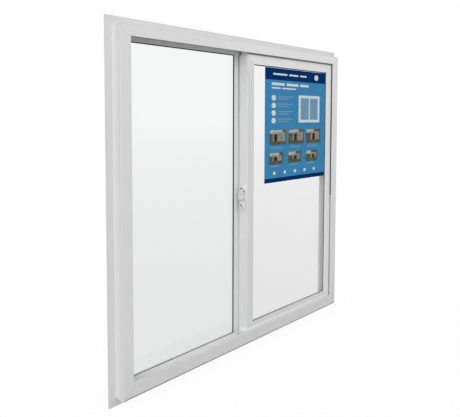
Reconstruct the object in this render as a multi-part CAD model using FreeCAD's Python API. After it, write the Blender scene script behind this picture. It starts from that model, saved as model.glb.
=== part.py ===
import FreeCAD, Part
import os
from FreeCAD import Vector

# A horizontal sliding window of white PVC: one pane fixed in the frame at the left, one sash at the right.
# X runs to the right and Z up, as seen from the latch side, which faces -Y.
# The origin lies on the back face of the mounting flange, in the middle of its bottom strip.

# Overall size over the flange
overall_width = 1000.0
overall_height = 1000.0

# Frame profile, the same on four sides apart from the heights of its front lip and of the divider behind it
flange_reach = 22.0
flange_thickness = 2.5
front_projection = 35.0
rear_projection = 36.0
frame_wall = 2.2
channel_wall = 2.2
floor_height = 14.0
lip_thickness = 3.0
head_face = 29.0
jamb_face = 34.0
sill_face = 40.0
head_divider = 19.0
jamb_divider = 15.0
sill_divider = 12.0
divider_thickness = 2.2
body_corner_radius = 3.0
lip_edge_radius = 1.4

# Sash profile and where the closed sash stands
sash_depth = 28.0
rail_face = 30.0
jamb_stile_face = 32.5
meeting_face = 29.3
sash_wall = 2.2
sash_lip = 3.0
sash_front_clearance = 5.0
interlock_space = 9.5
sash_head_gap = 3.0
sash_jamb_cover = 3.5
sash_sill_cover = 9.0
meeting_edge = -14.0
leg_height = 10.0
front_leg_setback = 6.0
pocket_depth = 16.0
sash_corner_radius = 1.6
sash_lip_radius = 0.8

# Glazing
glass_thickness = 4.0
gasket_thickness = 2.0
gasket_lip = 1.0
mullion_gasket_lip = 3.2
glass_edge_gap = 3.0
bead_wall = 1.5
bead_setback = 0.4
bead_corner_radius = 1.5
fixed_bead_height = 9.0
fixed_bead_back_height = 3.0
sash_bead_height = 10.0
sash_bead_back_height = 6.0
bead_flat_share = 0.4

# Fixed mullion with its interlock
mullion_left = -35.0
mullion_plate = 19.0
mullion_box_width = 28.0
mullion_recess = 6.0
mullion_cover = 12.0
hook_thickness = 2.0
hook_gap = 1.7
hook_overlap = 3.0
hook_reach = 11.5

# Track and running gear
rail_width = 2.6
rail_height = 4.7
rail_foot_width = 9.0
rail_foot_thickness = 1.2
running_gap = 0.3
wheel_tread_radius = 8.0
wheel_flange_depth = 1.5
wheel_width = 6.0
wheel_groove_clearance = 0.6
axle_radius = 1.5
axle_clearance = 0.05
carriage_length = 60.0
carriage_width = 12.0
carriage_wall = 2.0
carriage_height = 17.0
carriage_drop = 4.5
carriage_ledge = 7.0
carriage_inset = 85.0
slot_clearance = 0.4

# Pile seals, stop buffer, latch and sheet
pile_width = 4.0
pile_inset = 5.0
buffer_size = 24.0
buffer_width = 12.0
buffer_height = 9.0
latch_height = 74.0
latch_width = 24.5
latch_thickness = 8.5
latch_setback = 1.5
latch_centre = 482.5
latch_top_radius = 10.0
latch_bottom_radius = 3.0
latch_edge_radius = 1.8
latch_recess = 2.0
latch_rim = 2.4
latch_top_rim = 5.0
latch_recess_radius = 5.0
lever_height_share = 0.4325
lever_width = 24.0
lever_rise = 7.5
lever_shift = 1.7
lever_lift_share = 0.081
lever_stem = 1.0
lever_rim = 1.2
lever_edge_radius = 2.0
thumb_radius = 30.0
thumb_depth = 1.6
screw_radius = 2.8
screw_rise = 0.8
screw_top_gap = 4.5
screw_bottom_gap = 7.1
screw_offset = 6.6
sheet_thickness = 0.3
sheet_right_gap = 2.0
sheet_top_gap = 2.5
sheet_left_margin = 55.7
sheet_bottom_margin = 445.0


# Derived places

half_width = overall_width / 2
base_z = -flange_reach / 2
top_z = base_z + overall_height
front_y = -front_projection
lip_back_y = front_y + lip_thickness
floor_v = flange_reach + floor_height
head_profile = (head_face, head_divider)
jamb_profile = (jamb_face, jamb_divider)
sill_profile = (sill_face, sill_divider)
sash_front_y = lip_back_y + sash_front_clearance
sash_back_y = sash_front_y + sash_depth
divider_front_y = sash_back_y + interlock_space
divider_back_y = divider_front_y + divider_thickness
rear_y = rear_projection

# Outline of the sash's face
sash_left = meeting_edge
sash_right = half_width - flange_reach - jamb_face + sash_jamb_cover
sash_bottom = base_z + flange_reach + sill_face - sash_sill_cover
sash_top = top_z - flange_reach - head_face - sash_head_gap
sash_rect = (sash_left, sash_right, sash_bottom, sash_top)

# Depths of the sash's glass
sash_lip_back = sash_front_y + sash_lip
sash_glass_front = sash_lip_back + gasket_thickness
sash_glass_back = sash_glass_front + glass_thickness
sash_bead_front = sash_glass_back + gasket_thickness
rear_leg_front = sash_back_y - sash_wall
sash_faces = (meeting_face, jamb_stile_face, rail_face, rail_face)
sash_pockets = tuple(face - pocket_depth for face in sash_faces)

# Depths of the fixed glass
fixed_glass_front = divider_back_y + gasket_thickness
fixed_glass_back = fixed_glass_front + glass_thickness
fixed_bead_front = fixed_glass_back + gasket_thickness

# Track
leg_front_y = sash_front_y + front_leg_setback
track_y = (leg_front_y + sash_wall + rear_leg_front) / 2
rail_top = base_z + floor_v + rail_height
wheel_z = rail_top + running_gap + wheel_tread_radius


def box(x0, x1, y0, y1, z0, z1):
    return Part.makeBox(x1 - x0, y1 - y0, z1 - z0, Vector(x0, y0, z0))


def bar_from_section(points, run):
    """Extrude a section given as (y, v) along X, centred on x = 0."""
    loop = [Vector(-run / 2, y, v) for y, v in points]
    face = Part.Face(Part.makePolygon(loop + loop[:1]))
    return face.extrude(Vector(run, 0, 0))


def chamber(y0, y1, v0, v1, run):
    return box(-run, run, y0, y1, v0, v1)


def round_long_edges(solid, places, radius):
    """Round the edges that run along X at the given (y, v) places."""
    chosen = []
    for edge in solid.Edges:
        ends = [vertex.Point for vertex in edge.Vertexes]
        if len(ends) == 2 and abs(ends[0].x - ends[1].x) > 1:
            for y, v in places:
                if abs(ends[0].y - y) < 0.01 and abs(ends[0].z - v) < 0.01:
                    chosen.append(edge)
    return solid.makeFillet(radius, chosen)


def mitre_block(run, low, high, start_reach, end_reach, y0=front_y, y1=rear_y):
    """Block that cuts a bar's ends at 45 degrees from its outer edge, up to the reach of each neighbour."""
    corners = [(-run / 2 + low, low), (run / 2 - low, low)]
    corners += [(run / 2 - end_reach, end_reach), (run / 2 - end_reach, high)]
    corners += [(-run / 2 + start_reach, high), (-run / 2 + start_reach, start_reach)]
    loop = [Vector(x, y0, v) for x, v in corners]
    distinct = [p for i, p in enumerate(loop) if (p - loop[i - 1]).Length > 0.001]
    face = Part.Face(Part.makePolygon(distinct + distinct[:1]))
    return face.extrude(Vector(0, y1 - y0, 0))


def place_on_side(solid, side, rect):
    """Turn a bar about Y so that its v direction points inward from one side of a rectangle."""
    x0, x1, z0, z1 = rect
    turns = {"bottom": 0, "left": 90, "top": 180, "right": -90}
    seats = {
        "bottom": ((x0 + x1) / 2, z0),
        "left": (x0, (z0 + z1) / 2),
        "top": ((x0 + x1) / 2, z1),
        "right": (x1, (z0 + z1) / 2),
    }
    moved = solid.copy()
    moved.rotate(Vector(0, 0, 0), Vector(0, 1, 0), turns[side])
    x, z = seats[side]
    moved.translate(Vector(x, 0, z))
    return moved


def inset(rect, left, right, bottom, top):
    """Rectangle whose sides lie further in by the given amounts."""
    x0, x1, z0, z1 = rect
    return (x0 + left, x1 - right, z0 + bottom, z1 - top)


def rect_plate(rect, y0, y1):
    x0, x1, z0, z1 = rect
    return box(x0, x1, y0, y1, z0, z1)


def rect_ring(outer, inner, y0, y1):
    """Flat ring between two rectangles."""
    return rect_plate(outer, y0, y1).cut(rect_plate(inner, y0, y1))


# Frame

def frame_bar(run, profile, start_profile, end_profile):
    body_v = flange_reach
    lip_v = flange_reach + profile[0]
    divider_v = floor_v + profile[1]
    section = [
        (-flange_thickness, 0),
        (0, 0),
        (0, body_v),
        (rear_y, body_v),
        (rear_y, floor_v),
        (divider_back_y, floor_v),
        (divider_back_y, divider_v),
        (divider_front_y, divider_v),
        (divider_front_y, floor_v),
        (lip_back_y, floor_v),
        (lip_back_y, lip_v),
        (front_y, lip_v),
        (front_y, body_v),
        (-flange_thickness, body_v),
    ]
    bar = bar_from_section(section, run)
    bar = round_long_edges(bar, [(front_y, body_v)], body_corner_radius)
    bar = round_long_edges(bar, [(front_y, lip_v), (lip_back_y, lip_v)], lip_edge_radius)
    low = body_v + frame_wall
    high = floor_v - channel_wall
    web_y = 0.0
    bar = bar.cut(chamber(front_y + frame_wall, web_y - frame_wall / 2, low, high, run))
    bar = bar.cut(chamber(web_y + frame_wall / 2, rear_y - frame_wall, low, high, run))
    neighbours = (start_profile, end_profile)
    lip_reaches = [min(lip_v, flange_reach + neighbour[0]) for neighbour in neighbours]
    divider_reaches = [min(divider_v, floor_v + neighbour[1]) for neighbour in neighbours]
    front = mitre_block(run, 0, lip_v, lip_reaches[0], lip_reaches[1], front_y, lip_back_y)
    rear_v = max(lip_v, divider_v)
    rear = mitre_block(run, 0, rear_v, divider_reaches[0], divider_reaches[1], lip_back_y, rear_y)
    return bar.common(front).fuse(bar.common(rear)).removeSplitter()


def make_frame():
    rect = (-half_width, half_width, base_z, top_z)
    sill = frame_bar(overall_width, sill_profile, jamb_profile, jamb_profile)
    head = frame_bar(overall_width, head_profile, jamb_profile, jamb_profile)
    jamb_left = frame_bar(overall_height, jamb_profile, head_profile, sill_profile)
    jamb_right = frame_bar(overall_height, jamb_profile, sill_profile, head_profile)
    return {
        "frame_sill": place_on_side(sill, "bottom", rect),
        "frame_head": place_on_side(head, "top", rect),
        "frame_jamb_left": place_on_side(jamb_left, "left", rect),
        "frame_jamb_right": place_on_side(jamb_right, "right", rect),
    }


# Fixed pane

def make_mullion():
    """Upright that holds the fixed pane's right edge and hooks behind the sash when it is closed."""
    plate_end = mullion_left + mullion_plate
    box_left = plate_end
    box_right = box_left + mullion_box_width
    box_front = divider_front_y + mullion_recess
    low = base_z + floor_v
    high = top_z - floor_v
    wall = frame_wall
    body = box(box_left, box_right, box_front, rear_y, low, high)
    hollow = box(box_left + wall, box_right - wall, box_front + wall, rear_y - wall, low - 1, high + 1)
    body = body.cut(hollow)
    web = box(box_left, box_left + wall, divider_front_y, box_front, low, high)
    plate = box(mullion_left, box_left + mullion_cover, divider_front_y, divider_back_y, low, high)
    tip_front = sash_back_y + hook_gap
    fin_right = meeting_edge + hook_reach + hook_gap + hook_thickness * 2 + hook_overlap
    fin = box(fin_right - hook_thickness, fin_right, tip_front, box_front, low, high)
    tip_left = meeting_edge + hook_reach - hook_overlap
    tip = box(tip_left, fin_right, tip_front, tip_front + hook_thickness, low, high)
    mullion = body.fuse([web, plate, fin, tip]).removeSplitter()
    for end_low, end_high in ((low, low + sill_divider), (high - head_divider, high)):
        mullion = mullion.cut(box(-half_width, half_width, sash_back_y, divider_back_y, end_low, end_high))
    return mullion


def make_fixed_pane():
    pocket = (-half_width + floor_v, mullion_left + mullion_plate, base_z + floor_v, top_z - floor_v)
    sight = inset(pocket, jamb_divider, mullion_plate, sill_divider, head_divider)
    depths = (divider_back_y, fixed_glass_front, fixed_glass_back, fixed_bead_front, rear_y)
    front_lip = inset(sight, gasket_lip, mullion_gasket_lip, gasket_lip, gasket_lip)
    return glaze("fixed", pocket, front_lip, depths, fixed_bead_height, fixed_bead_back_height)


def glaze(name, pocket, front_lip, depths, bead_height, bead_back_height):
    """Pane in a pocket with a gasket on each face and four beads behind it."""
    front, glass_front, glass_back, bead_front, bead_back = depths
    edge = inset(pocket, glass_edge_gap, glass_edge_gap, glass_edge_gap, glass_edge_gap)
    rear_lip = inset(pocket, bead_height, bead_height, bead_height, bead_height)
    nodes = {
        name + "_glass": rect_plate(edge, glass_front, glass_back),
        name + "_gasket_front": rect_ring(edge, front_lip, front, glass_front),
        name + "_gasket_rear": rect_ring(edge, rear_lip, glass_back, bead_front),
    }
    x0, x1, z0, z1 = pocket
    for side, run in (("bottom", x1 - x0), ("top", x1 - x0), ("left", z1 - z0), ("right", z1 - z0)):
        bead = bead_bar(run, bead_front, bead_back, bead_height, bead_back_height)
        nodes[name + "_bead_" + side] = place_on_side(bead, side, pocket)
    return nodes


def bead_bar(run, y0, y1, height, back_height):
    """Hollow glazing bead whose face slopes away behind a flat beside the glass."""
    flat_y = y0 + (y1 - y0) * bead_flat_share
    bar = bar_from_section([(y0, 0), (y1, 0), (y1, back_height), (flat_y, height), (y0, height)], run)
    bar = round_long_edges(bar, [(flat_y, height)], bead_corner_radius)
    bar = bar.cut(chamber(y0 + bead_wall, flat_y, bead_wall, height - bead_wall, run))
    return bar.common(mitre_block(run, 0, height, height, height))


# Sash

def sash_bar(run, face, with_legs):
    pocket = face - pocket_depth
    section = [
        (sash_front_y, 0),
        (sash_front_y, face),
        (sash_lip_back, face),
        (sash_lip_back, pocket),
        (sash_back_y, pocket),
    ]
    if with_legs:
        section += [
            (sash_back_y, -leg_height),
            (rear_leg_front, -leg_height),
            (rear_leg_front, 0),
            (leg_front_y + sash_wall, 0),
            (leg_front_y + sash_wall, -leg_height),
            (leg_front_y, -leg_height),
            (leg_front_y, 0),
        ]
    else:
        section += [(sash_back_y, 0)]
    bar = bar_from_section(section, run + 2 * leg_height)
    bar = round_long_edges(bar, [(sash_front_y, 0)], sash_corner_radius)
    bar = round_long_edges(bar, [(sash_front_y, face)], sash_lip_radius)
    hollow = chamber(sash_front_y + sash_wall, sash_back_y - sash_wall,
                     sash_wall, pocket - sash_wall, run + 2 * leg_height)
    return bar.cut(hollow)


def rail_block(run, left_is_meeting):
    """End cuts of a sash rail: mitred, with its legs cut square at the meeting stile."""
    reaches = (meeting_face, rail_face) if left_is_meeting else (rail_face, meeting_face)
    block = mitre_block(run, -leg_height, rail_face, reaches[0], reaches[1])
    side = -1 if left_is_meeting else 1
    x0 = min(side * run / 2, side * run)
    square = box(x0, x0 + run / 2, front_y, rear_y, -leg_height - 1, 0)
    return block.cut(square)


def sash_rail(run, left_is_meeting):
    """Rail of the sash with a wall that closes its legs at the meeting stile."""
    bar = sash_bar(run, rail_face, True).common(rail_block(run, left_is_meeting))
    low_x = -run / 2 if left_is_meeting else run / 2 - sash_wall
    wall = box(low_x, low_x + sash_wall, leg_front_y, sash_back_y, -leg_height, 0)
    return bar.fuse(wall).removeSplitter()


def make_sash_frame():
    x0, x1, z0, z1 = sash_rect
    width = x1 - x0
    height = z1 - z0
    bottom = sash_rail(width, True)
    top = sash_rail(width, False)
    right = sash_bar(height, jamb_stile_face, True)
    right = right.common(mitre_block(height, -leg_height, jamb_stile_face, rail_face, rail_face))
    left = sash_bar(height, meeting_face, False)
    left = left.common(mitre_block(height, 0, meeting_face, meeting_face, meeting_face))
    bottom = place_on_side(bottom, "bottom", sash_rect)
    half_slot = carriage_length / 2 + slot_clearance
    half_across = carriage_width / 2 + slot_clearance
    for x in carriage_places():
        slot = box(x - half_slot, x + half_slot, track_y - half_across, track_y + half_across,
                   z0 - 1, z0 + sash_wall + 1)
        bottom = bottom.cut(slot)
    return {
        "sash_rail_bottom": bottom,
        "sash_rail_top": place_on_side(top, "top", sash_rect),
        "sash_stile_meeting": place_on_side(left, "left", sash_rect),
        "sash_stile_jamb": place_on_side(right, "right", sash_rect),
    }


def make_sash_glazing():
    pocket = inset(sash_rect, *sash_pockets)
    bead_back = sash_back_y - bead_setback
    depths = (sash_lip_back, sash_glass_front, sash_glass_back, sash_bead_front, bead_back)
    return glaze("sash", pocket, sash_front_lip(), depths, sash_bead_height, sash_bead_back_height)


def sash_front_lip():
    """Edge of the front gasket, inside which the sash's glass is seen."""
    sight = inset(sash_rect, *sash_faces)
    return inset(sight, gasket_lip, gasket_lip, gasket_lip, gasket_lip)


def make_interlock():
    """Hook strip on the back of the meeting stile."""
    tip_front = sash_back_y + hook_gap + hook_thickness + hook_gap
    fin = box(meeting_edge, meeting_edge + hook_thickness, sash_back_y, tip_front + hook_thickness,
              sash_bottom, sash_top)
    tip = box(meeting_edge, meeting_edge + hook_reach, tip_front, tip_front + hook_thickness,
              sash_bottom, sash_top)
    return fin.fuse(tip).removeSplitter()


# Track and running gear

def make_sill_rail():
    """Aluminium rail with a rounded top on a foot in the sill's channel."""
    length = overall_width - 2 * floor_v
    floor_z = base_z + floor_v
    foot = box(-length / 2, length / 2, track_y - rail_foot_width / 2, track_y + rail_foot_width / 2,
               floor_z, floor_z + rail_foot_thickness)
    radius = rail_width / 2
    blade = box(-length / 2, length / 2, track_y - radius, track_y + radius, floor_z, rail_top - radius)
    start = Vector(-length / 2, track_y, rail_top - radius)
    crown = Part.makeCylinder(radius, length, start, Vector(1, 0, 0))
    return foot.fuse([blade, crown]).removeSplitter()


def carriage_places():
    return (sash_left + carriage_inset, sash_right - carriage_inset)


def make_carriage(x):
    """Roller housing with its axle: two cheeks under a roof, let into a slot of the rail, on a base plate."""
    half = carriage_length / 2
    across = carriage_width / 2
    low = wheel_z - carriage_drop
    housing = box(x - half, x + half, track_y - across, track_y + across, low, low + carriage_height)
    plate_half = half + carriage_ledge
    plate_across = (rear_leg_front - leg_front_y - sash_wall) / 2 - slot_clearance
    plate = box(x - plate_half, x + plate_half, track_y - plate_across, track_y + plate_across,
                sash_bottom - carriage_wall, sash_bottom)
    pocket_half = wheel_tread_radius + wheel_flange_depth + 1.0
    inner = across - carriage_wall
    pocket = box(x - pocket_half, x + pocket_half, track_y - inner, track_y + inner,
                 low - 1, wheel_z + pocket_half)
    axle = Part.makeCylinder(axle_radius, carriage_width,
                             Vector(x, track_y - across, wheel_z), Vector(0, 1, 0))
    return housing.fuse(plate).cut(pocket).fuse(axle).removeSplitter()


def make_wheel(x):
    """Wheel with a groove that fits over the rail, turned about its axle."""
    half = wheel_width / 2
    tread_half = rail_width / 2 + wheel_groove_clearance
    rim = wheel_tread_radius + wheel_flange_depth
    bore = axle_radius + axle_clearance
    profile = [(bore, -half), (rim, -half), (rim, -tread_half - 0.4), (wheel_tread_radius, -tread_half),
               (wheel_tread_radius, tread_half), (rim, tread_half + 0.4), (rim, half), (bore, half)]
    loop = [Vector(x + r, track_y + y, wheel_z) for r, y in profile]
    face = Part.Face(Part.makePolygon(loop + loop[:1]))
    return face.revolve(Vector(x, track_y, wheel_z), Vector(0, 1, 0), 360)


def make_pile_seal(edge_z, outward):
    """Brush strip on the back of the sash's rear leg, which brushes along the divider."""
    near = edge_z + outward * pile_inset
    far = near + outward * pile_width
    back_y = divider_front_y - running_gap
    return box(sash_left, sash_right, sash_back_y, back_y, min(near, far), max(near, far))


def make_buffer():
    """Cushion block in the left jamb's channel, half way up."""
    floor_x = -half_width + floor_v
    z = base_z + overall_height / 2
    across = buffer_width / 2
    return box(floor_x, floor_x + buffer_height, track_y - across, track_y + across,
               z - buffer_size / 2, z + buffer_size / 2)


# Latch on the meeting stile

def slot_plate(height, width, thickness, x_face, y, z):
    """Plate with half-round ends that stands on a face toward -X."""
    radius = width / 2
    straight = height / 2 - radius
    plate = box(x_face - thickness, x_face, y - radius, y + radius, z - straight, z + straight)
    ends = []
    for end_z in (z - straight, z + straight):
        start = Vector(x_face - thickness, y, end_z)
        ends.append(Part.makeCylinder(radius, thickness, start, Vector(1, 0, 0)))
    return plate.fuse(ends).removeSplitter()


def rounded_plate(height, width, thickness, x_face, y, z, radius):
    """Plate with rounded corners that stands on a face toward -X."""
    plate = box(x_face - thickness, x_face, y - width / 2, y + width / 2, z - height / 2, z + height / 2)
    corners = [edge for edge in plate.Edges if abs(edge.Vertexes[0].Point.x - edge.Vertexes[1].Point.x) > 1]
    return plate.makeFillet(radius, corners)


def round_outer_face(solid, x_outer, radius):
    """Round the rim of the face that looks toward -X."""
    rim = [edge for edge in solid.Edges if max(vertex.Point.x for vertex in edge.Vertexes) < x_outer + 0.01]
    return solid.makeFillet(radius, rim)


def make_latch():
    y = sash_front_y + latch_setback + latch_width / 2
    z = latch_centre
    face = sash_left - latch_thickness
    lower_height = latch_height / 2
    arch = rounded_plate(latch_height, latch_width, latch_thickness, sash_left, y, z, latch_top_radius)
    foot = rounded_plate(lower_height, latch_width, latch_thickness, sash_left, y, z - lower_height / 2,
                         latch_bottom_radius)
    body = round_outer_face(arch.fuse(foot).removeSplitter(), face, latch_edge_radius)
    floor_x = face + latch_recess
    recess_height = latch_height - latch_top_rim - latch_rim
    recess_z = z - (latch_top_rim - latch_rim) / 2
    body = body.cut(rounded_plate(recess_height, latch_width - 2 * latch_rim, 2 * latch_recess, floor_x,
                                  y, recess_z, latch_recess_radius))
    lever_y = y + lever_shift
    lever_z = z + lever_lift_share * latch_height
    lever_height = lever_height_share * latch_height
    stem_height = lever_height - 2 * lever_rim
    stem_width = latch_width - 2 * latch_rim - 2 * (lever_shift + lever_rim)
    stem = slot_plate(stem_height, stem_width, latch_recess + lever_stem, floor_x, lever_y, lever_z)
    disc = slot_plate(lever_height, lever_width, lever_rise - lever_stem, face - lever_stem, lever_y, lever_z)
    outer = face - lever_rise
    disc = round_outer_face(disc, outer, lever_edge_radius)
    dish_start = Vector(outer - thumb_radius + thumb_depth, lever_y - lever_width, lever_z)
    dish = Part.makeCylinder(thumb_radius, 2 * lever_width, dish_start, Vector(0, 1, 0))
    lever = stem.fuse(disc.cut(dish)).removeSplitter()
    recess_low = recess_z - recess_height / 2
    recess_high = recess_z + recess_height / 2
    screws = []
    for screw_z in (recess_low + screw_bottom_gap, recess_high - screw_top_gap):
        start = Vector(floor_x - screw_rise, y + screw_offset, screw_z)
        screws.append(Part.makeCylinder(screw_radius, screw_rise, start, Vector(1, 0, 0)))
    return {"latch_body": body, "latch_lever": lever, "latch_screws": Part.makeCompound(screws)}


def make_sheet():
    """Printed sheet on the upper right of the sash's glass."""
    area = inset(sash_front_lip(), sheet_left_margin, sheet_right_gap, sheet_bottom_margin, sheet_top_gap)
    return rect_plate(area, sash_glass_front - sheet_thickness, sash_glass_front)


def main():
    nodes = {}
    nodes.update(make_frame())
    nodes["mullion"] = make_mullion()
    nodes.update(make_fixed_pane())
    nodes.update(make_sash_frame())
    nodes.update(make_sash_glazing())
    nodes["sash_interlock"] = make_interlock()
    nodes["sill_rail"] = make_sill_rail()
    for name, x in zip(("left", "right"), carriage_places()):
        nodes["roller_carriage_" + name] = make_carriage(x)
        nodes["roller_wheel_" + name] = make_wheel(x)
    nodes["sash_pile_bottom"] = make_pile_seal(sash_bottom, -1)
    nodes["sash_pile_top"] = make_pile_seal(sash_top, 1)
    nodes["jamb_buffer"] = make_buffer()
    nodes.update(make_latch())
    nodes["info_sheet"] = make_sheet()
    os.makedirs("parts", exist_ok=True)
    for name, shape in nodes.items():
        shape.exportStep("parts/" + name + ".step")
        print(name, shape.isValid(), len(shape.Solids), round(shape.Volume))


main()
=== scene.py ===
import math

import bmesh
import bpy
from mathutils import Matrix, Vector


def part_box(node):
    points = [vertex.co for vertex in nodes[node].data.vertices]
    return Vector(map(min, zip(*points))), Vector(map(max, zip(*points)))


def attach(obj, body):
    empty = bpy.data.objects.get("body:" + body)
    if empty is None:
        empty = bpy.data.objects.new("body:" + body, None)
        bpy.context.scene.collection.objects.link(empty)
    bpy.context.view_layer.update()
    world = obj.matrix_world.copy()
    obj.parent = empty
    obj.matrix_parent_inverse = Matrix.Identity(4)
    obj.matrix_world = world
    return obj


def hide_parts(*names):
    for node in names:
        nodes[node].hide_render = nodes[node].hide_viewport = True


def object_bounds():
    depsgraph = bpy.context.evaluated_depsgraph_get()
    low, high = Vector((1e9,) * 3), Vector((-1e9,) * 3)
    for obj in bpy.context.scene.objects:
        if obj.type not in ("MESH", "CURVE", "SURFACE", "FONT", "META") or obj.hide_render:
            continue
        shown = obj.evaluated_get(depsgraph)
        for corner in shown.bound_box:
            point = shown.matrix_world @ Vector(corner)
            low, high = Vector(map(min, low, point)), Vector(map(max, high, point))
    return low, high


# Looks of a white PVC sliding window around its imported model.
# Metres, X to the right and Z up as seen from the latch side, which faces -Y.

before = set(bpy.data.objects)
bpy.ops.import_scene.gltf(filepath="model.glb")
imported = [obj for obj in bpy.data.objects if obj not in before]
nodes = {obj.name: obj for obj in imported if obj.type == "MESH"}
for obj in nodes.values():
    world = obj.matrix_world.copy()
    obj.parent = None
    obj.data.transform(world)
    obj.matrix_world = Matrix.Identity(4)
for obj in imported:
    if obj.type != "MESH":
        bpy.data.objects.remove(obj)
cad_low, cad_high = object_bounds()

MM = 0.001

# The photograph's frame and the camera fitted to it, in pixels, metres and degrees
PHOTO_WIDTH = 460
PHOTO_HEIGHT = 417
FOCAL_PIXELS = 455.97
PRINCIPAL_X = 206.48
PRINCIPAL_Y = 142.52
CAMERA_PLACE = (-1.0632, -1.0146, 0.7328)
CAMERA_YAW = 41.572
CAMERA_PITCH = -2.991
CAMERA_CLIP = (0.02, 200.0)
SENSOR_WIDTH = 36.0

# Floor: white with distance where the camera or a reflection sees it, and through glass a little dimmer,
# with painted shade that deepens towards the window
FLOOR_SIZE = 60.0
FLOOR_DROP = 0.5 * MM
FLOOR_ALBEDO = 0.5
FLOOR_SEEN_ALBEDO = 0.95
FLOOR_WHITE_SHARE = 0.95
FLOOR_WHITE_SPAN = (0.5, 1.6)
FLOOR_DIM_NEAR = 0.15
FLOOR_DIM_FADE = 0.25

# Sky strength with its change per unit along X, Y and Z, and each lamp's name, place, size and watts
SKY_LEVEL = 0.54
SKY_SLOPE = (-0.08, 0.0, 0.05)
LAMP_TARGET = (0.0, 0.0, 0.5)
LAMPS = (
    ("overhead_softbox", (-0.6, -1.3, 3.1), (3.0, 2.4), 22.0),
    ("front_softbox", (-11.5, -9.5, 4.75), (10.0, 10.0), 844.0),
)

# Sizes of the frame's profile and of the latch, as in the solid model
FLANGE_REACH = 22 * MM
JAMB_FACE = 34 * MM
HEAD_FACE = 29 * MM
SILL_FACE = 40 * MM
LIP_THICKNESS = 3 * MM
LATCH_RECESS = 2 * MM
LATCH_RIM = 2.4 * MM

# Sides of the frame's box inside the flange, and edges of its front lip
box_side = cad_high.x - FLANGE_REACH
box_foot = cad_low.z + FLANGE_REACH
box_top = cad_high.z - FLANGE_REACH
jamb_edge = box_side - JAMB_FACE
head_edge = box_top - HEAD_FACE
sill_edge = box_foot + SILL_FACE
front_face = cad_low.y
lip_back = front_face + LIP_THICKNESS


# Camera

def make_camera():
    data = bpy.data.cameras.new("camera")
    data.sensor_width = SENSOR_WIDTH
    data.lens = FOCAL_PIXELS / PHOTO_WIDTH * SENSOR_WIDTH
    data.shift_x = (PHOTO_WIDTH / 2 - PRINCIPAL_X) / PHOTO_WIDTH
    data.shift_y = (PRINCIPAL_Y - PHOTO_HEIGHT / 2) / PHOTO_WIDTH
    data.clip_start, data.clip_end = CAMERA_CLIP
    camera = bpy.data.objects.new("camera", data)
    camera.location = CAMERA_PLACE
    camera.rotation_euler = (math.radians(90 + CAMERA_PITCH), 0.0, math.radians(-CAMERA_YAW))
    bpy.context.scene.collection.objects.link(camera)
    bpy.context.scene.camera = camera


# Node helpers

# Range that holds most values of a noise
NOISE_SPAN = (0.3, 0.7)


class Tree:
    """Short forms for adding and joining the nodes of a material or of the world."""

    def __init__(self, owner, output_kind):
        owner.use_nodes = True
        self.tree = owner.node_tree
        self.tree.nodes.clear()
        self.output = self.add(output_kind)

    def add(self, kind, **settings):
        node = self.tree.nodes.new(kind)
        for key, value in settings.items():
            setattr(node, key, value)
        return node

    def put(self, socket, value):
        if isinstance(value, bpy.types.NodeSocket):
            self.tree.links.new(value, socket)
        else:
            socket.default_value = value

    def math(self, operation, a, b=0.0):
        node = self.add("ShaderNodeMath", operation=operation)
        self.put(node.inputs[0], a)
        self.put(node.inputs[1], b)
        return node.outputs[0]

    def place(self):
        return self.add("ShaderNodeTexCoord").outputs["Object"]

    def axes(self):
        """Sockets of the place's X, Y and Z."""
        split = self.add("ShaderNodeSeparateXYZ")
        self.put(split.inputs[0], self.place())
        return split.outputs

    def noise(self, vector, scale, detail=2.0, roughness=0.5):
        node = self.add("ShaderNodeTexNoise")
        self.put(node.inputs["Vector"], vector)
        node.inputs["Scale"].default_value = scale
        node.inputs["Detail"].default_value = detail
        node.inputs["Roughness"].default_value = roughness
        return node.outputs[0]

    def streaks(self, run, across, along, detail=2.0, roughness=0.5):
        """Noise drawn out along the run axis, if there is one, from its scales across and along it."""
        scale = [across, across, across]
        if run:
            scale["XYZ".index(run)] = along
        mapping = self.add("ShaderNodeMapping")
        self.put(mapping.inputs["Vector"], self.place())
        mapping.inputs["Scale"].default_value = scale
        return self.noise(mapping.outputs[0], 1.0, detail, roughness)

    def spread(self, value, low, high, source=NOISE_SPAN):
        """The value, carried over from its source range to the range from low to high."""
        node = self.add("ShaderNodeMapRange")
        self.put(node.inputs["Value"], value)
        node.inputs["From Min"].default_value = source[0]
        node.inputs["From Max"].default_value = source[1]
        node.inputs["To Min"].default_value = low
        node.inputs["To Max"].default_value = high
        return node.outputs[0]

    def within(self, value, low, high, soft=MM):
        """One between the limits, falling to nothing outside them."""
        rising = self.spread(value, 0.0, 1.0, (low - soft, low))
        falling = self.spread(value, 1.0, 0.0, (high, high + soft))
        return self.math("MULTIPLY", rising, falling)

    def blend(self, factor, a, b):
        node = self.add("ShaderNodeMix", data_type="RGBA")
        self.put(node.inputs[0], factor)
        self.put(node.inputs[6], a)
        self.put(node.inputs[7], b)
        return node.outputs[2]

    def bump(self, height, distance, strength, normal=None):
        node = self.add("ShaderNodeBump")
        self.put(node.inputs["Height"], height)
        node.inputs["Distance"].default_value = distance
        node.inputs["Strength"].default_value = strength
        if normal is not None:
            self.put(node.inputs["Normal"], normal)
        return node.outputs[0]

    def principled(self, **values):
        """Principled shader. Inputs are named with underscores in place of spaces."""
        node = self.add("ShaderNodeBsdfPrincipled")
        for key, value in values.items():
            self.put(node.inputs[key.replace("_", " ")], value)
        return node.outputs[0]

    def mix_shaders(self, factor, a, b):
        node = self.add("ShaderNodeMixShader")
        self.put(node.inputs[0], factor)
        self.put(node.inputs[1], a)
        self.put(node.inputs[2], b)
        return node.outputs[0]

    def show(self, shader):
        self.put(self.output.inputs["Surface"], shader)


def new_material(name):
    material = bpy.data.materials.new(name)
    return material, Tree(material, "ShaderNodeOutputMaterial")


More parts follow.
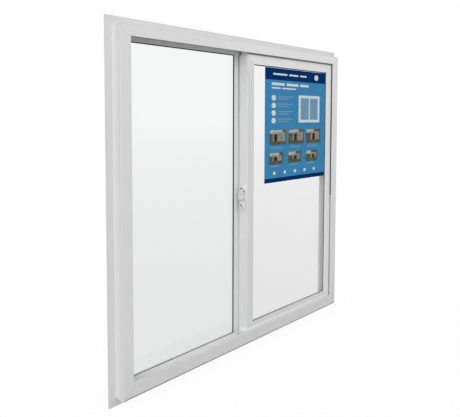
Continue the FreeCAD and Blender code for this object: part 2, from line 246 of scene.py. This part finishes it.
def shade(colour, share=1.0):
    """The colour with its channels times the share, and full alpha."""
    return tuple(min(1.0, channel * share) for channel in colour) + (1.0,)


def grey(value):
    return shade((value, value, value))


# Materials

PVC_LIGHT = (0.800, 0.802, 0.806)
PVC_DEEP = (0.760, 0.762, 0.764)
PVC_ROUGHNESS = (0.46, 0.58)
PVC_SPECULAR = 0.4
PVC_CLOUD_SCALE = 5.0
PVC_GRAIN_SCALE = 900.0
# Scales of the die lines across the run and along it
PVC_LINE_SCALES = (260.0, 1.2)
# Scales of the brushing of metal across the run and along it
METAL_SCALES = (700.0, 4.0)
WELD_HALF_WIDTHS = (0.1 * MM, 0.6 * MM)
WELD_GREY = 0.45
WELD_STRENGTH = 0.35
GLASS_IOR = 1.3
GLASS_SHADOW = (0.9, 0.91, 0.907)

# A limit past every edge of the window, for a zone that is open on that side
BEYOND = 2.0


def zone(level, x=None, y=None, z=None):
    """Grey level painted over a place, painted light where it is lighter and painted shade where darker,
    with its limits along some of the axes.

    The limits are (low, high), or (low, high, soft edge) where the zone fades out slowly.
    """
    return level, [(axis, span) for axis, span in (("X", x), ("Y", y), ("Z", z)) if span]


def mitred(x_low, x_high, z_low, z_high):
    """Centre and half spans of a rectangle that is mitred at its corners."""
    centre = ((x_low + x_high) / 2, (z_low + z_high) / 2)
    return centre, ((x_high - x_low) / 2, (z_high - z_low) / 2)


def diagonal_distance(tree, centre, half_spans):
    """Distance in metres from the mitre lines of a rectangle that is centred on (x, z)."""
    axes = tree.axes()
    across = tree.math("ABSOLUTE", tree.math("SUBTRACT", axes["X"], centre[0]))
    upward = tree.math("ABSOLUTE", tree.math("SUBTRACT", axes["Z"], centre[1]))
    difference = tree.math("SUBTRACT", across, upward)
    difference = tree.math("ADD", difference, half_spans[1] - half_spans[0])
    return tree.math("MULTIPLY", tree.math("ABSOLUTE", difference), math.sqrt(0.5))


def pvc(name, run, seam=None, zones=()):
    """Extruded white PVC: fine die lines along the run axis, a soft sheen, a weld line at each mitre and
    zones of painted light and shade.
    """
    material, tree = new_material(name)
    die_lines = tree.streaks(run, *PVC_LINE_SCALES, detail=3.0, roughness=0.6)
    clouds = tree.noise(tree.place(), PVC_CLOUD_SCALE, 3.0)
    grain = tree.noise(tree.place(), PVC_GRAIN_SCALE)
    tone = tree.math("ADD", tree.math("MULTIPLY", clouds, 0.7), tree.math("MULTIPLY", die_lines, 0.3))
    colour = tree.blend(tree.spread(tone, 0.0, 1.0), shade(PVC_DEEP), shade(PVC_LIGHT))
    height = tree.math("ADD", tree.math("MULTIPLY", die_lines, 0.6), tree.math("MULTIPLY", grain, 0.4))
    normal = tree.bump(height, 0.03 * MM, 0.6)
    if zones:
        axes = tree.axes()
    # Each zone blends the colour towards its grey: painted light where that is lighter, painted shade where
    # it is darker
    for level, limits in zones:
        mask = 1.0
        for axis, span in limits:
            mask = tree.math("MULTIPLY", tree.within(axes[axis], *span), mask)
        colour = tree.blend(mask, colour, grey(level))
    if seam:
        line = tree.spread(diagonal_distance(tree, *seam), 1.0, 0.0, WELD_HALF_WIDTHS)
        colour = tree.blend(tree.math("MULTIPLY", line, WELD_STRENGTH), colour, grey(WELD_GREY))
        normal = tree.bump(tree.math("SUBTRACT", 1.0, line), 0.2 * MM, 0.6, normal)
    tree.show(tree.principled(
        Base_Color=colour,
        Roughness=tree.spread(die_lines, *PVC_ROUGHNESS),
        Specular_IOR_Level=PVC_SPECULAR,
        Normal=normal,
    ))
    return material


def moulded(name, light, deep, roughness, grain_scale=1200.0, bump=0.02 * MM):
    """Moulded plastic or rubber with a fine grain and slight unevenness."""
    material, tree = new_material(name)
    clouds = tree.noise(tree.place(), 40.0, 3.0)
    grain = tree.noise(tree.place(), grain_scale)
    tree.show(tree.principled(
        Base_Color=tree.blend(tree.spread(clouds, 0.0, 1.0), shade(deep), shade(light)),
        Roughness=tree.spread(grain, roughness - 0.06, roughness + 0.06),
        Normal=tree.bump(grain, bump, 0.7),
    ))
    return material


def pile(name, light, deep):
    """Dense brush of short hairs: dull, with a deep fine grain."""
    return moulded(name, light, deep, 0.9, 3000.0, 0.3 * MM)


def metal(name, colour, roughness, run=None):
    """Bare metal, drawn or brushed along the run axis if there is one."""
    material, tree = new_material(name)
    brushed = tree.streaks(run, *METAL_SCALES)
    tree.show(tree.principled(
        Base_Color=tree.blend(brushed, shade(colour, 0.92), shade(colour)),
        Metallic=1.0,
        Roughness=tree.spread(brushed, roughness - 0.05, roughness + 0.08),
        Normal=tree.bump(brushed, 0.004 * MM, 0.5),
    ))
    return material


def glass(name, tint):
    """Clear float glass, faintly tinted. Lamps shine through it, so that it casts no dark shadow."""
    material, tree = new_material(name)
    haze = tree.noise(tree.place(), 3.0, 3.0)
    solid = tree.principled(
        Base_Color=tree.blend(haze, shade(tint, 0.98), shade(tint)),
        Roughness=0.0,
        IOR=GLASS_IOR,
        Transmission_Weight=1.0,
    )
    clear = tree.add("ShaderNodeBsdfTransparent")
    clear.inputs[0].default_value = shade(GLASS_SHADOW)
    path = tree.add("ShaderNodeLightPath")
    tree.show(tree.mix_shaders(path.outputs["Is Shadow Ray"], solid, clear.outputs[0]))
    return material


def paper(name, colour, spread=0.06):
    """Printed film: faintly uneven ink on a matt surface."""
    material, tree = new_material(name)
    ink = tree.noise(tree.place(), 60.0, 4.0, 0.6)
    fibre = tree.noise(tree.place(), 2500.0)
    deep = shade(colour, 1.0 - spread)
    light = shade(colour, 1.0 + spread)
    tree.show(tree.principled(
        Base_Color=tree.blend(tree.spread(ink, 0.0, 1.0), deep, light),
        Roughness=tree.spread(fibre, 0.5, 0.62),
        Specular_IOR_Level=0.0,
        Normal=tree.bump(fibre, 0.01 * MM, 0.5),
    ))
    return material


# Pieces of mesh

def link_mesh(name, bm, material, body):
    """The finished mesh as a piece on a body, with its material."""
    bmesh.ops.recalc_face_normals(bm, faces=bm.faces)
    mesh = bpy.data.meshes.new(name)
    bm.to_mesh(mesh)
    bm.free()
    mesh.materials.append(material)
    piece = bpy.data.objects.new(name, mesh)
    bpy.context.scene.collection.objects.link(piece)
    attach(piece, body)
    return piece


def add_outline(bm, outline, y_back, y_front):
    """Closed plate from an outline of (x, z) points, seen counter-clockwise from the front."""
    back = [bm.verts.new((x, y_back, z)) for x, z in outline]
    front = [bm.verts.new((x, y_front, z)) for x, z in outline]
    count = len(outline)
    bm.faces.new(front)
    bm.faces.new(list(reversed(back)))
    for i in range(count):
        j = (i + 1) % count
        bm.faces.new((back[i], back[j], front[j], front[i]))


def rounded(x0, x1, z0, z1, radius, steps=6):
    """Outline of a rectangle with rounded corners."""
    points = []
    corners = ((x1 - radius, z0 + radius, -90), (x1 - radius, z1 - radius, 0),
               (x0 + radius, z1 - radius, 90), (x0 + radius, z0 + radius, 180))
    for cx, cz, start in corners:
        for k in range(steps + 1):
            angle = math.radians(start + 90.0 * k / steps)
            points.append((cx + radius * math.cos(angle), cz + radius * math.sin(angle)))
    return points


def trim(name, material, body, slot, *boxes):
    """Straight strips as one piece. Each box is (x0, x1, y0, y1, z0, z1)."""
    bm = bmesh.new()
    for x0, x1, y0, y1, z0, z1 in boxes:
        add_outline(bm, [(x0, z0), (x1, z0), (x1, z1), (x0, z1)], y1, y0)
    link_mesh(name, bm, material, body)


# Printed sheet on the glass

sheet_low, sheet_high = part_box("info_sheet")
sheet_width = sheet_high.x - sheet_low.x
sheet_height = sheet_high.z - sheet_low.z

INK_THICKNESS = 0.06 * MM
SHEET_OFF_GLASS = 0.04 * MM
SHEET_CORNER = 0.5 * MM

# Layout of the print, in shares of the sheet's width from its left and of its height from its top
LIST_ROWS = 4
LIST_TOP = 0.235
LIST_PITCH = 0.066
FOOT_MARKS = 5
FOOT_LEFT = 0.13
FOOT_PITCH = 0.165
TILE_COLUMNS = 3
TILE_LEFT = 0.07
TILE_PITCH = 0.295
TILE_TOPS = (0.535, 0.735)
# Drawing of a two-light window: its ground, with a corner radius in mm, and the spans of its panes
PICTOGRAM_GROUND = (0.53, 0.90, 0.225, 0.475, 3.0)
PICTOGRAM_PANES = ((0.565, 0.705), (0.725, 0.865))


def print_layer(name, material, shapes, layer=1):
    """One ink layer of the sheet. Each shape is (left, right, top, bottom, corner radius in mm)."""
    bm = bmesh.new()
    y_back = sheet_low.y - (layer - 1) * INK_THICKNESS
    for left, right, top, bottom, radius in shapes:
        x0 = sheet_low.x + left * sheet_width
        x1 = sheet_low.x + right * sheet_width
        z0 = sheet_high.z - bottom * sheet_height
        z1 = sheet_high.z - top * sheet_height
        largest = min(x1 - x0, z1 - z0) / 2 - 0.01 * MM
        outline = rounded(x0, x1, z0, z1, min(radius * MM, largest))
        add_outline(bm, outline, y_back, y_back - INK_THICKNESS)
    link_mesh(name, bm, material, "sash")


def bars(top, bottom, radius, *spans):
    """Bars side by side between the same heights."""
    return [(left, right, top, bottom, radius) for left, right in spans]


def print_headings(pale):
    """Dark bands along the top and bottom, with three bars and a disc on the upper one."""
    navy = paper("ink_navy", (0.002, 0.036, 0.150), 0.12)
    print_layer("sheet_bands", navy, bars(0.0, 0.102, 0.3, (0.0, 1.0)) + bars(0.962, 1.0, 0.3, (0.0, 1.0)))
    heading = bars(0.043, 0.058, 1.2, (0.12, 0.34), (0.37, 0.52), (0.55, 0.66))
    disc = (0.80, 0.87, 0.026, 0.076, 12.0)
    print_layer("sheet_heading", pale, heading + [disc], 2)


def print_text_block(pale, tint):
    """Bars of a title, list with a disc for each entry, bars under the tiles and marks along the foot."""
    marks = bars(0.126, 0.148, 2.0, (0.10, 0.30), (0.33, 0.52), (0.55, 0.70))
    marks += bars(0.166, 0.178, 1.4, (0.10, 0.24), (0.26, 0.48))
    lines = []
    for i in range(LIST_ROWS):
        top = LIST_TOP + LIST_PITCH * i
        marks.append((0.10, 0.165, top, top + 0.047, 9.0))
        lines.append((0.20, 0.44, top + 0.005, top + 0.015, 1.2))
        lines.append((0.20, 0.37, top + 0.025, top + 0.035, 1.2))
    for i in range(FOOT_MARKS):
        left = FOOT_LEFT + FOOT_PITCH * i
        marks.append((left, left + 0.035, 0.905, 0.932, 2.0))
    marks.append(PICTOGRAM_GROUND)
    for i in range(TILE_COLUMNS):
        left = TILE_LEFT + TILE_PITCH * i
        lines.append((left + 0.02, left + 0.20, 0.690, 0.701, 1.2))
        lines.append((left + 0.02, left + 0.15, 0.852, 0.863, 1.2))
    print_layer("sheet_marks", pale, marks)
    print_layer("sheet_lines", tint, lines)


def print_tiles():
    """Two rows of plain landscape tiles: ground, sky, a wall and its shaded side."""
    dark = paper("ink_slate", (0.045, 0.042, 0.040), 0.3)
    earth = paper("ink_earth", (0.115, 0.120, 0.085), 0.3)
    sky = paper("ink_sky", (0.42, 0.50, 0.50), 0.2)
    sand = paper("ink_sand", (0.32, 0.29, 0.25), 0.2)
    tiles = []
    skies = []
    walls = []
    shades = []
    for row, top in enumerate(TILE_TOPS):
        for i in range(TILE_COLUMNS):
            left = TILE_LEFT + TILE_PITCH * i
            right = left + 0.262 - 0.05 * row
            bottom = top + 0.135 - 0.03 * row
            wall = left + 0.05 + 0.02 * i
            tiles.append((left, right, top, bottom, 1.2))
            skies.append((left + 0.006, right - 0.06 - 0.03 * i, top + 0.004, top + 0.036, 0.8))
            walls.append((wall, right - 0.02, top + 0.026, bottom - 0.03, 0.8))
            shades.append((wall + 0.02, wall + 0.07, top + 0.042, bottom - 0.03, 0.6))
    print_layer("sheet_tiles", earth, tiles)
    print_layer("sheet_tile_skies", sky, skies, 2)
    print_layer("sheet_tile_walls", sand, walls, 3)
    print_layer("sheet_tile_shades", dark, shades, 4)


def make_sheet_print():
    pale = paper("ink_pale", (0.72, 0.79, 0.83))
    tint = paper("ink_light_blue", (0.19, 0.36, 0.52))
    print_headings(pale)
    print_text_block(pale, tint)
    print_tiles()
    print_layer("sheet_pictogram", tint, bars(0.250, 0.450, 0.8, *PICTOGRAM_PANES), 2)


def make_sheet_stock():
    """Printed face on a plain white back, a hair off the glass."""
    face = paper("sheet_blue", (0.058, 0.268, 0.520))
    backing = paper("sheet_backing", (0.80, 0.80, 0.79))
    middle = (sheet_low.y + sheet_high.y) / 2
    outline = rounded(sheet_low.x, sheet_high.x, sheet_low.z, sheet_high.z, SHEET_CORNER)
    for name, material, y_back, y_front in (
            ("sheet_face", face, middle, sheet_low.y),
            ("sheet_back", backing, sheet_high.y - SHEET_OFF_GLASS, middle)):
        bm = bmesh.new()
        add_outline(bm, outline, y_back, y_front)
        piece = link_mesh(name, bm, material, "sash")
        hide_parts("info_sheet")


# Latch screws

SCREW_STEPS = 24
# Rings of a head, from its rim to its crown, as shares of its radius and of its rise
SCREW_RINGS = ((1.0, 0.0), (1.0, 0.35), (0.86, 0.72), (0.62, 0.9), (0.4, 0.97), (0.2, 1.0))
# The cross recess: shares of the radius for its reach and half width, and of the rise for its depth
CROSS_REACH = 0.62
CROSS_HALF_WIDTH = 0.16
CROSS_DEPTH = 0.75


def make_screw_heads():
    """Domed heads with a cross recess in place of the plain discs."""
    low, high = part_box("latch_screws")
    radius = (high.y - low.y) / 2
    y = (high.y + low.y) / 2
    rise = high.x - low.x
    bm = bmesh.new()
    for z in (low.z + radius, high.z - radius):
        rings = []
        for share, height in SCREW_RINGS:
            ring = []
            for k in range(SCREW_STEPS):
                angle = 2 * math.pi * k / SCREW_STEPS
                r = share * radius
                off_arm = min(abs(math.cos(angle)), abs(math.sin(angle))) * r
                x = high.x - height * rise
                if share <= CROSS_REACH and off_arm < CROSS_HALF_WIDTH * radius:
                    x += CROSS_DEPTH * rise
                ring.append(bm.verts.new((x, y + r * math.cos(angle), z + r * math.sin(angle))))
            rings.append(ring)
        for a, b in zip(rings, rings[1:]):
            for k in range(SCREW_STEPS):
                j = (k + 1) % SCREW_STEPS
                bm.faces.new((a[k], a[j], b[j], b[k]))
        bm.faces.new(list(reversed(rings[0])))
        bm.faces.new(rings[-1])
    steel = metal("screw_metal", (0.10, 0.10, 0.105), 0.4)
    piece = link_mesh("latch_screw_heads", bm, steel, "sash")
    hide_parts("latch_screws")


# Seals and small parts that are too fine for the solid model, and painted shadows on the latch

FIN_END_GAP = 20 * MM
FIN_HEIGHTS = {"fixed": 1.9 * MM, "sash": 1.6 * MM}
BRUSH_GAP = 0.4 * MM
JAMB_SEAL_DEPTH = 3.5 * MM
# Height at which the right jamb's seal turns from dark to light, where its painted shade ends
JAMB_SEAL_CHANGE = 0.44
LATCH_SHADOW_RISE = 0.08 * MM


def make_gasket_fins(rubber):
    """Fins along the gaskets' upper runs, which press on the glass just under the bars above them."""
    for pane, body, bar in (("fixed", "frame", "frame_head"), ("sash", "sash", "sash_rail_top")):
        low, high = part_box(pane + "_gasket_front")
        glass_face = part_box(pane + "_glass")[0].y
        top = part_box(bar)[0].z - MM
        trim(pane + "_gasket_fin", rubber, body, "gasket_black",
             (low.x + FIN_END_GAP, high.x - FIN_END_GAP, low.y + 0.2 * MM, glass_face,
              top - FIN_HEIGHTS[pane], top))


def make_lip_seals():
    """Brush strips behind the frame's front lip, against the sash's face. Their greys are painted light and
    shade: dark at the head and high on the jamb, paler low down, light on the sill.
    """
    dark = pile("pile_dark", (0.06, 0.06, 0.062), (0.03, 0.03, 0.032))
    middling = pile("pile_mid", (0.34, 0.34, 0.345), (0.26, 0.26, 0.265))
    light = pile("pile_light", (0.72, 0.72, 0.72), (0.63, 0.63, 0.63))
    sash_low, sash_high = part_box("sash_stile_meeting")
    sash_side = sash_low.y - BRUSH_GAP
    jamb_back = jamb_edge + JAMB_SEAL_DEPTH
    strips = (
        ("jamb_lip_seal_upper", dark,
         (jamb_edge + 0.2 * MM, jamb_back, lip_back, sash_side, JAMB_SEAL_CHANGE, sash_high.z + MM)),
        ("jamb_lip_seal_lower", middling,
         (jamb_edge + 1.2 * MM, jamb_back, lip_back, sash_side, sash_low.z + 12 * MM, JAMB_SEAL_CHANGE)),
        ("head_lip_seal", dark,
         (-jamb_edge, jamb_edge, lip_back, lip_back + 1.6 * MM, head_edge - BRUSH_GAP, head_edge + 6 * MM)),
        ("sill_lip_seal", light,
         (-jamb_edge, jamb_edge, lip_back, sash_side, sill_edge - 6 * MM, sill_edge - BRUSH_GAP)),
    )
    for name, material, box in strips:
        trim(name, material, "frame", "pile_grey", box)


def make_end_cap(material):
    """Cap on the lower end of the interlock, beside the bottom brush strip."""
    low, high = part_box("sash_interlock")
    trim("interlock_cap", material, "sash", "pvc_white",
         (low.x - 1.2 * MM, low.x, low.y + 0.2 * MM, high.y + 1.2 * MM, low.z - 12 * MM, low.z + 0.5 * MM))


def make_latch_shadow_sheets(material):
    """Painted shadows as thin dark sheets: lines round the sliding plate on the floor of the latch's
    recess, and a line on its front side.
    """
    low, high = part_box("latch_body")
    recess_floor = low.x + LATCH_RECESS
    front = low.y + LATCH_RIM
    foot = low.z + LATCH_RIM
    screw_side = (high.y - 4.6 * MM, high.y - 2.6 * MM)
    # Painted shadows: a line at the foot, a mark at the lever's upper end and two beside the screws, with
    # heights in mm
    shadow_sheets = (
        ((front + 1.5 * MM, high.y - 4 * MM), (0.1, 1.4)),
        ((front + 3 * MM, front + 7.6 * MM), (47.5, 57.5)),
        (screw_side, (4.5, 12.0)),
        (screw_side, (59.5, 64.0)),
    )
    boxes = []
    for (y0, y1), (bottom, top) in shadow_sheets:
        boxes.append((recess_floor - LATCH_SHADOW_RISE, recess_floor, y0, y1,
                      foot + bottom * MM, foot + top * MM))
    # A painted shadow line along the front side of the latch's body
    shadow_line = (low.x + 1.9 * MM, low.x + 3 * MM, low.y - 0.05 * MM, low.y + 0.5 * MM,
                    foot + 2 * MM, foot + 28 * MM)
    trim("latch_shadow_sheets", material, "sash", "screw_steel", *boxes, shadow_line)


# Studio

def make_floor():
    half = FLOOR_SIZE / 2
    z = cad_low.z - FLOOR_DROP
    mesh = bpy.data.meshes.new("floor")
    corners = [(-half, -half, z), (half, -half, z), (half, half, z), (-half, half, z)]
    mesh.from_pydata(corners, [], [(0, 1, 2, 3)])
    floor = bpy.data.objects.new("floor", mesh)
    bpy.context.scene.collection.objects.link(floor)

    material, tree = new_material("studio_floor")
    path = tree.add("ShaderNodeLightPath")
    matt = tree.add("ShaderNodeBsdfDiffuse")
    seen_colour = tree.blend(path.outputs["Is Camera Ray"], grey(FLOOR_ALBEDO), grey(FLOOR_SEEN_ALBEDO))
    tree.put(matt.inputs[0], seen_colour)
    through = path.outputs["Is Transmission Ray"]
    distance = tree.add("ShaderNodeVectorMath", operation="LENGTH")
    tree.put(distance.inputs[0], tree.place())
    away = distance.outputs["Value"]
    # Through glass the floor's glow is dimmed near the window: painted shade
    fade = tree.math("ADD", 1.0, tree.math("MULTIPLY", away, FLOOR_DIM_FADE))
    near_shade = tree.math("DIVIDE", FLOOR_DIM_NEAR, fade)
    white = tree.add("ShaderNodeEmission")
    white.inputs[0].default_value = grey(1.0)
    tree.put(white.inputs[1], tree.math("SUBTRACT", 1.0, tree.math("MULTIPLY", near_shade, through)))
    seen = tree.math("MAXIMUM", path.outputs["Is Camera Ray"], path.outputs["Is Glossy Ray"])
    share = tree.math("MULTIPLY", seen, tree.spread(away, FLOOR_WHITE_SHARE, 1.0, FLOOR_WHITE_SPAN))
    share = tree.math("MAXIMUM", share, through)
    tree.show(tree.mix_shaders(share, matt.outputs[0], white.outputs[0]))
    mesh.materials.append(material)


def make_world():
    """White backdrop where it is seen, and for the lighting a soft sky that brightens along its slope."""
    world = bpy.data.worlds.new("studio")
    bpy.context.scene.world = world
    tree = Tree(world, "ShaderNodeOutputWorld")
    path = tree.add("ShaderNodeLightPath")
    seen = tree.math("MAXIMUM", path.outputs["Is Camera Ray"], path.outputs["Is Glossy Ray"])
    seen = tree.math("MAXIMUM", seen, path.outputs["Is Transmission Ray"])
    towards = tree.add("ShaderNodeVectorMath", operation="DOT_PRODUCT")
    tree.put(towards.inputs[0], tree.add("ShaderNodeTexCoord").outputs["Generated"])
    towards.inputs[1].default_value = SKY_SLOPE
    backgrounds = []
    for strength in (tree.math("ADD", towards.outputs["Value"], SKY_LEVEL), 1.0):
        background = tree.add("ShaderNodeBackground")
        background.inputs["Color"].default_value = grey(1.0)
        tree.put(background.inputs["Strength"], strength)
        backgrounds.append(background.outputs[0])
    tree.show(tree.mix_shaders(seen, *backgrounds))


def make_lamps():
    for name, place, size, watts in LAMPS:
        data = bpy.data.lights.new(name, "AREA")
        data.shape = "RECTANGLE"
        data.size, data.size_y = size
        data.energy = watts
        lamp = bpy.data.objects.new(name, data)
        lamp.location = place
        lamp.rotation_euler = (Vector(LAMP_TARGET) - Vector(place)).to_track_quat("-Z", "Y").to_euler()
        bpy.context.scene.collection.objects.link(lamp)


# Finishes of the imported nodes

def give(material, *names):
    """Show the material on the named nodes, whose meshes stay as they are."""
    for name in names:
        for slot in nodes[name].material_slots:
            slot.link = "OBJECT"
            slot.material = material


def dress_frame():
    """Sill, head and jambs. Their flange, faces and edges carry painted light and shade."""
    seam = mitred(cad_low.x, cad_high.x, cad_low.z, cad_high.z)
    # Painted shade on the flanges beside the frame's box
    flange = 0.73
    front = (-BEYOND, front_face + 2 * MM)
    head_front = (head_edge + 2 * MM, box_top - 2 * MM)
    left_edge = -box_side - 0.7 * MM
    left_inner = -jamb_edge + 4 * MM
    right_front = (jamb_edge + MM, box_side - MM)
    left_foot = (-BEYOND, 30 * MM, 120 * MM)
    right_foot = (-BEYOND, 40 * MM, 150 * MM)
    level = pvc("pvc_frame_level", "X", seam, [
        zone(flange, z=(-BEYOND, box_foot - 1.5 * MM)),
        zone(flange, z=(box_top + 2 * MM, BEYOND)),
        # Painted shade on the front of the sill, then painted light on the head, more of it towards the
        # right
        zone(0.745, y=front, z=(box_foot + 2 * MM, sill_edge - MM)),
        zone(0.82, y=front, z=head_front),
        zone(0.90, (0.05, BEYOND, 0.3), front, head_front),
        # Painted shade on the upper edge of the head, and a painted shadow line along the lower edge of the
        # sill
        zone(0.60, y=front, z=(box_top - 1.8 * MM, box_top + 2 * MM)),
        zone(0.33, y=(-BEYOND, lip_back + MM), z=(box_foot - 3 * MM, box_foot + 4.5 * MM)),
        # Painted light in the channel of the sill
        zone(0.95, y=(lip_back + MM, 20 * MM), z=(20 * MM, sill_edge - 0.5 * MM)),
    ])
    upright = pvc("pvc_frame_upright", "Z", seam, [
        zone(flange, (-BEYOND, -box_side - 1.7 * MM)),
        zone(flange, (box_side + 1.7 * MM, BEYOND)),
        # Outer side of the left jamb: painted light, turning to painted shade towards its front edge
        zone(0.85, (left_edge, -box_side + MM)),
        zone(0.78, (left_edge, -box_side + 1.2 * MM), (-BEYOND, front_face + 5 * MM, 12 * MM)),
        zone(0.69, (left_edge, -box_side + 1.4 * MM), front),
        # Painted light on the front of the left jamb, and painted shade at its foot
        zone(0.805, (-box_side + 2 * MM, left_inner), front),
        zone(0.76, (-box_side + 0.5 * MM, left_inner), front, left_foot),
        # Painted light on the front of the right jamb, more of it on its upper part, and painted shade at
        # its foot
        zone(0.81, right_front, front),
        zone(0.87, right_front, front, (0.8, BEYOND, 0.4)),
        zone(0.76, right_front, front, right_foot),
    ])
    give(level, "frame_sill", "frame_head")
    give(upright, "frame_jamb_left", "frame_jamb_right")


def dress_mullion():
    """Mullion, with a strip of painted shade beside the shut sash: darkest at the top, and wider beside the
    latch.
    """
    sash_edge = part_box("sash_stile_meeting")[0].x
    latch_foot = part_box("latch_body")[0].z
    strip_end = sash_edge - 1.6 * MM
    beside_latch = (latch_foot - 0.5 * MM, latch_foot + 39.5 * MM, 20 * MM)
    give(pvc("pvc_mullion", "Z", None, [
        zone(0.36, (sash_edge - 5.8 * MM, strip_end, 0.6 * MM), z=(0.9, BEYOND, 0.6)),
        zone(0.61, (sash_edge - 10 * MM, strip_end, 0.6 * MM), z=beside_latch),
    ]), "mullion")


def dress_sash(bead_upright):
    """Rails, stiles and interlock of the sash. Its foot, its top rail, its right stile and the upper end of
    its meeting stile's front carry painted light.
    """
    low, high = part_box("sash_stile_meeting")
    right_low, right_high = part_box("sash_stile_jamb")
    # The face is taken to reach as far beyond the beads at the right as at the left
    face_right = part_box("sash_bead_right")[1].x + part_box("sash_bead_left")[0].x - low.x
    seam = mitred(low.x, face_right, low.z, high.z)
    # Painted light along the sash's foot
    foot = zone(0.93, z=(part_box("sash_rail_bottom")[0].z - 2 * MM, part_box("sash_bead_bottom")[0].z))
    level = pvc("pvc_sash_level", "X", seam, [
        foot,
        # Painted light on the top rail
        zone(0.92, z=(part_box("sash_rail_top")[0].z - MM, BEYOND)),
    ])
    upright = pvc("pvc_sash_upright", "Z", seam, [
        foot,
        # Painted light on the right stile
        zone(0.90, (right_low.x - MM, right_high.x + MM)),
        # Painted light on the upper end of the meeting stile's front
        zone(0.85, (low.x - MM, high.x + MM), (-BEYOND, low.y + 1.5 * MM),
             (high.z + 5 * MM, BEYOND, 50 * MM)),
    ])
    give(level, "sash_rail_bottom", "sash_rail_top")
    give(upright, "sash_stile_meeting", "sash_stile_jamb")
    give(bead_upright, "sash_interlock")


def dress_glazing(bead_upright, rubber):
    """Beads, panes and gaskets. The bead at the far right is darker all over with painted shade, and the
    sash's pane is tinted darker with painted shade.
    """
    bead_level = pvc("pvc_bead_level", "X")
    bead_far_shaded = pvc("pvc_bead_far", "Z", None, [zone(0.54, (-BEYOND, BEYOND))])
    give(bead_upright, "fixed_bead_left", "fixed_bead_right", "sash_bead_left")
    give(bead_far_shaded, "sash_bead_right")
    give(bead_level, "fixed_bead_bottom", "fixed_bead_top", "sash_bead_bottom", "sash_bead_top")
    give(glass("float_glass", (0.925, 0.932, 0.930)), "fixed_glass")
    # The same glass as the fixed pane, tinted darker: painted shade
    give(glass("float_glass_sash", (0.907, 0.908, 0.907)), "sash_glass")
    give(rubber, "fixed_gasket_front", "fixed_gasket_rear", "sash_gasket_front", "sash_gasket_rear")


def dress_running_gear():
    """Rail, brush seals, rollers and stop buffer."""
    grey_plastic = moulded("grey_plastic", (0.30, 0.31, 0.32), (0.25, 0.26, 0.27), 0.5)
    nylon = moulded("nylon", (0.66, 0.66, 0.63), (0.60, 0.60, 0.57), 0.4)
    give(metal("drawn_aluminium", (0.76, 0.77, 0.78), 0.32, "X"), "sill_rail")
    give(pile("pile", (0.46, 0.46, 0.47), (0.32, 0.32, 0.33)), "sash_pile_bottom", "sash_pile_top")
    give(grey_plastic, "roller_carriage_left", "roller_carriage_right", "jamb_buffer")
    give(nylon, "roller_wheel_left", "roller_wheel_right")


def dress_latch():
    give(moulded("latch_plastic", (0.84, 0.84, 0.84), (0.81, 0.81, 0.81), 0.3), "latch_body")
    give(moulded("lever_plastic", (0.72, 0.72, 0.72), (0.69, 0.69, 0.69), 0.3), "latch_lever")


bead_upright = pvc("pvc_bead_upright", "Z")
rubber = moulded("epdm_rubber", (0.016, 0.016, 0.017), (0.009, 0.009, 0.010), 0.5)

make_camera()
dress_frame()
dress_mullion()
dress_sash(bead_upright)
dress_glazing(bead_upright, rubber)
dress_running_gear()
dress_latch()
make_sheet_stock()
make_gasket_fins(rubber)
make_lip_seals()
make_end_cap(bead_upright)
make_latch_shadow_sheets(rubber)
make_sheet_print()
make_screw_heads()
make_floor()
make_world()
make_lamps()
bpy.context.scene.view_settings.view_transform = "Standard"
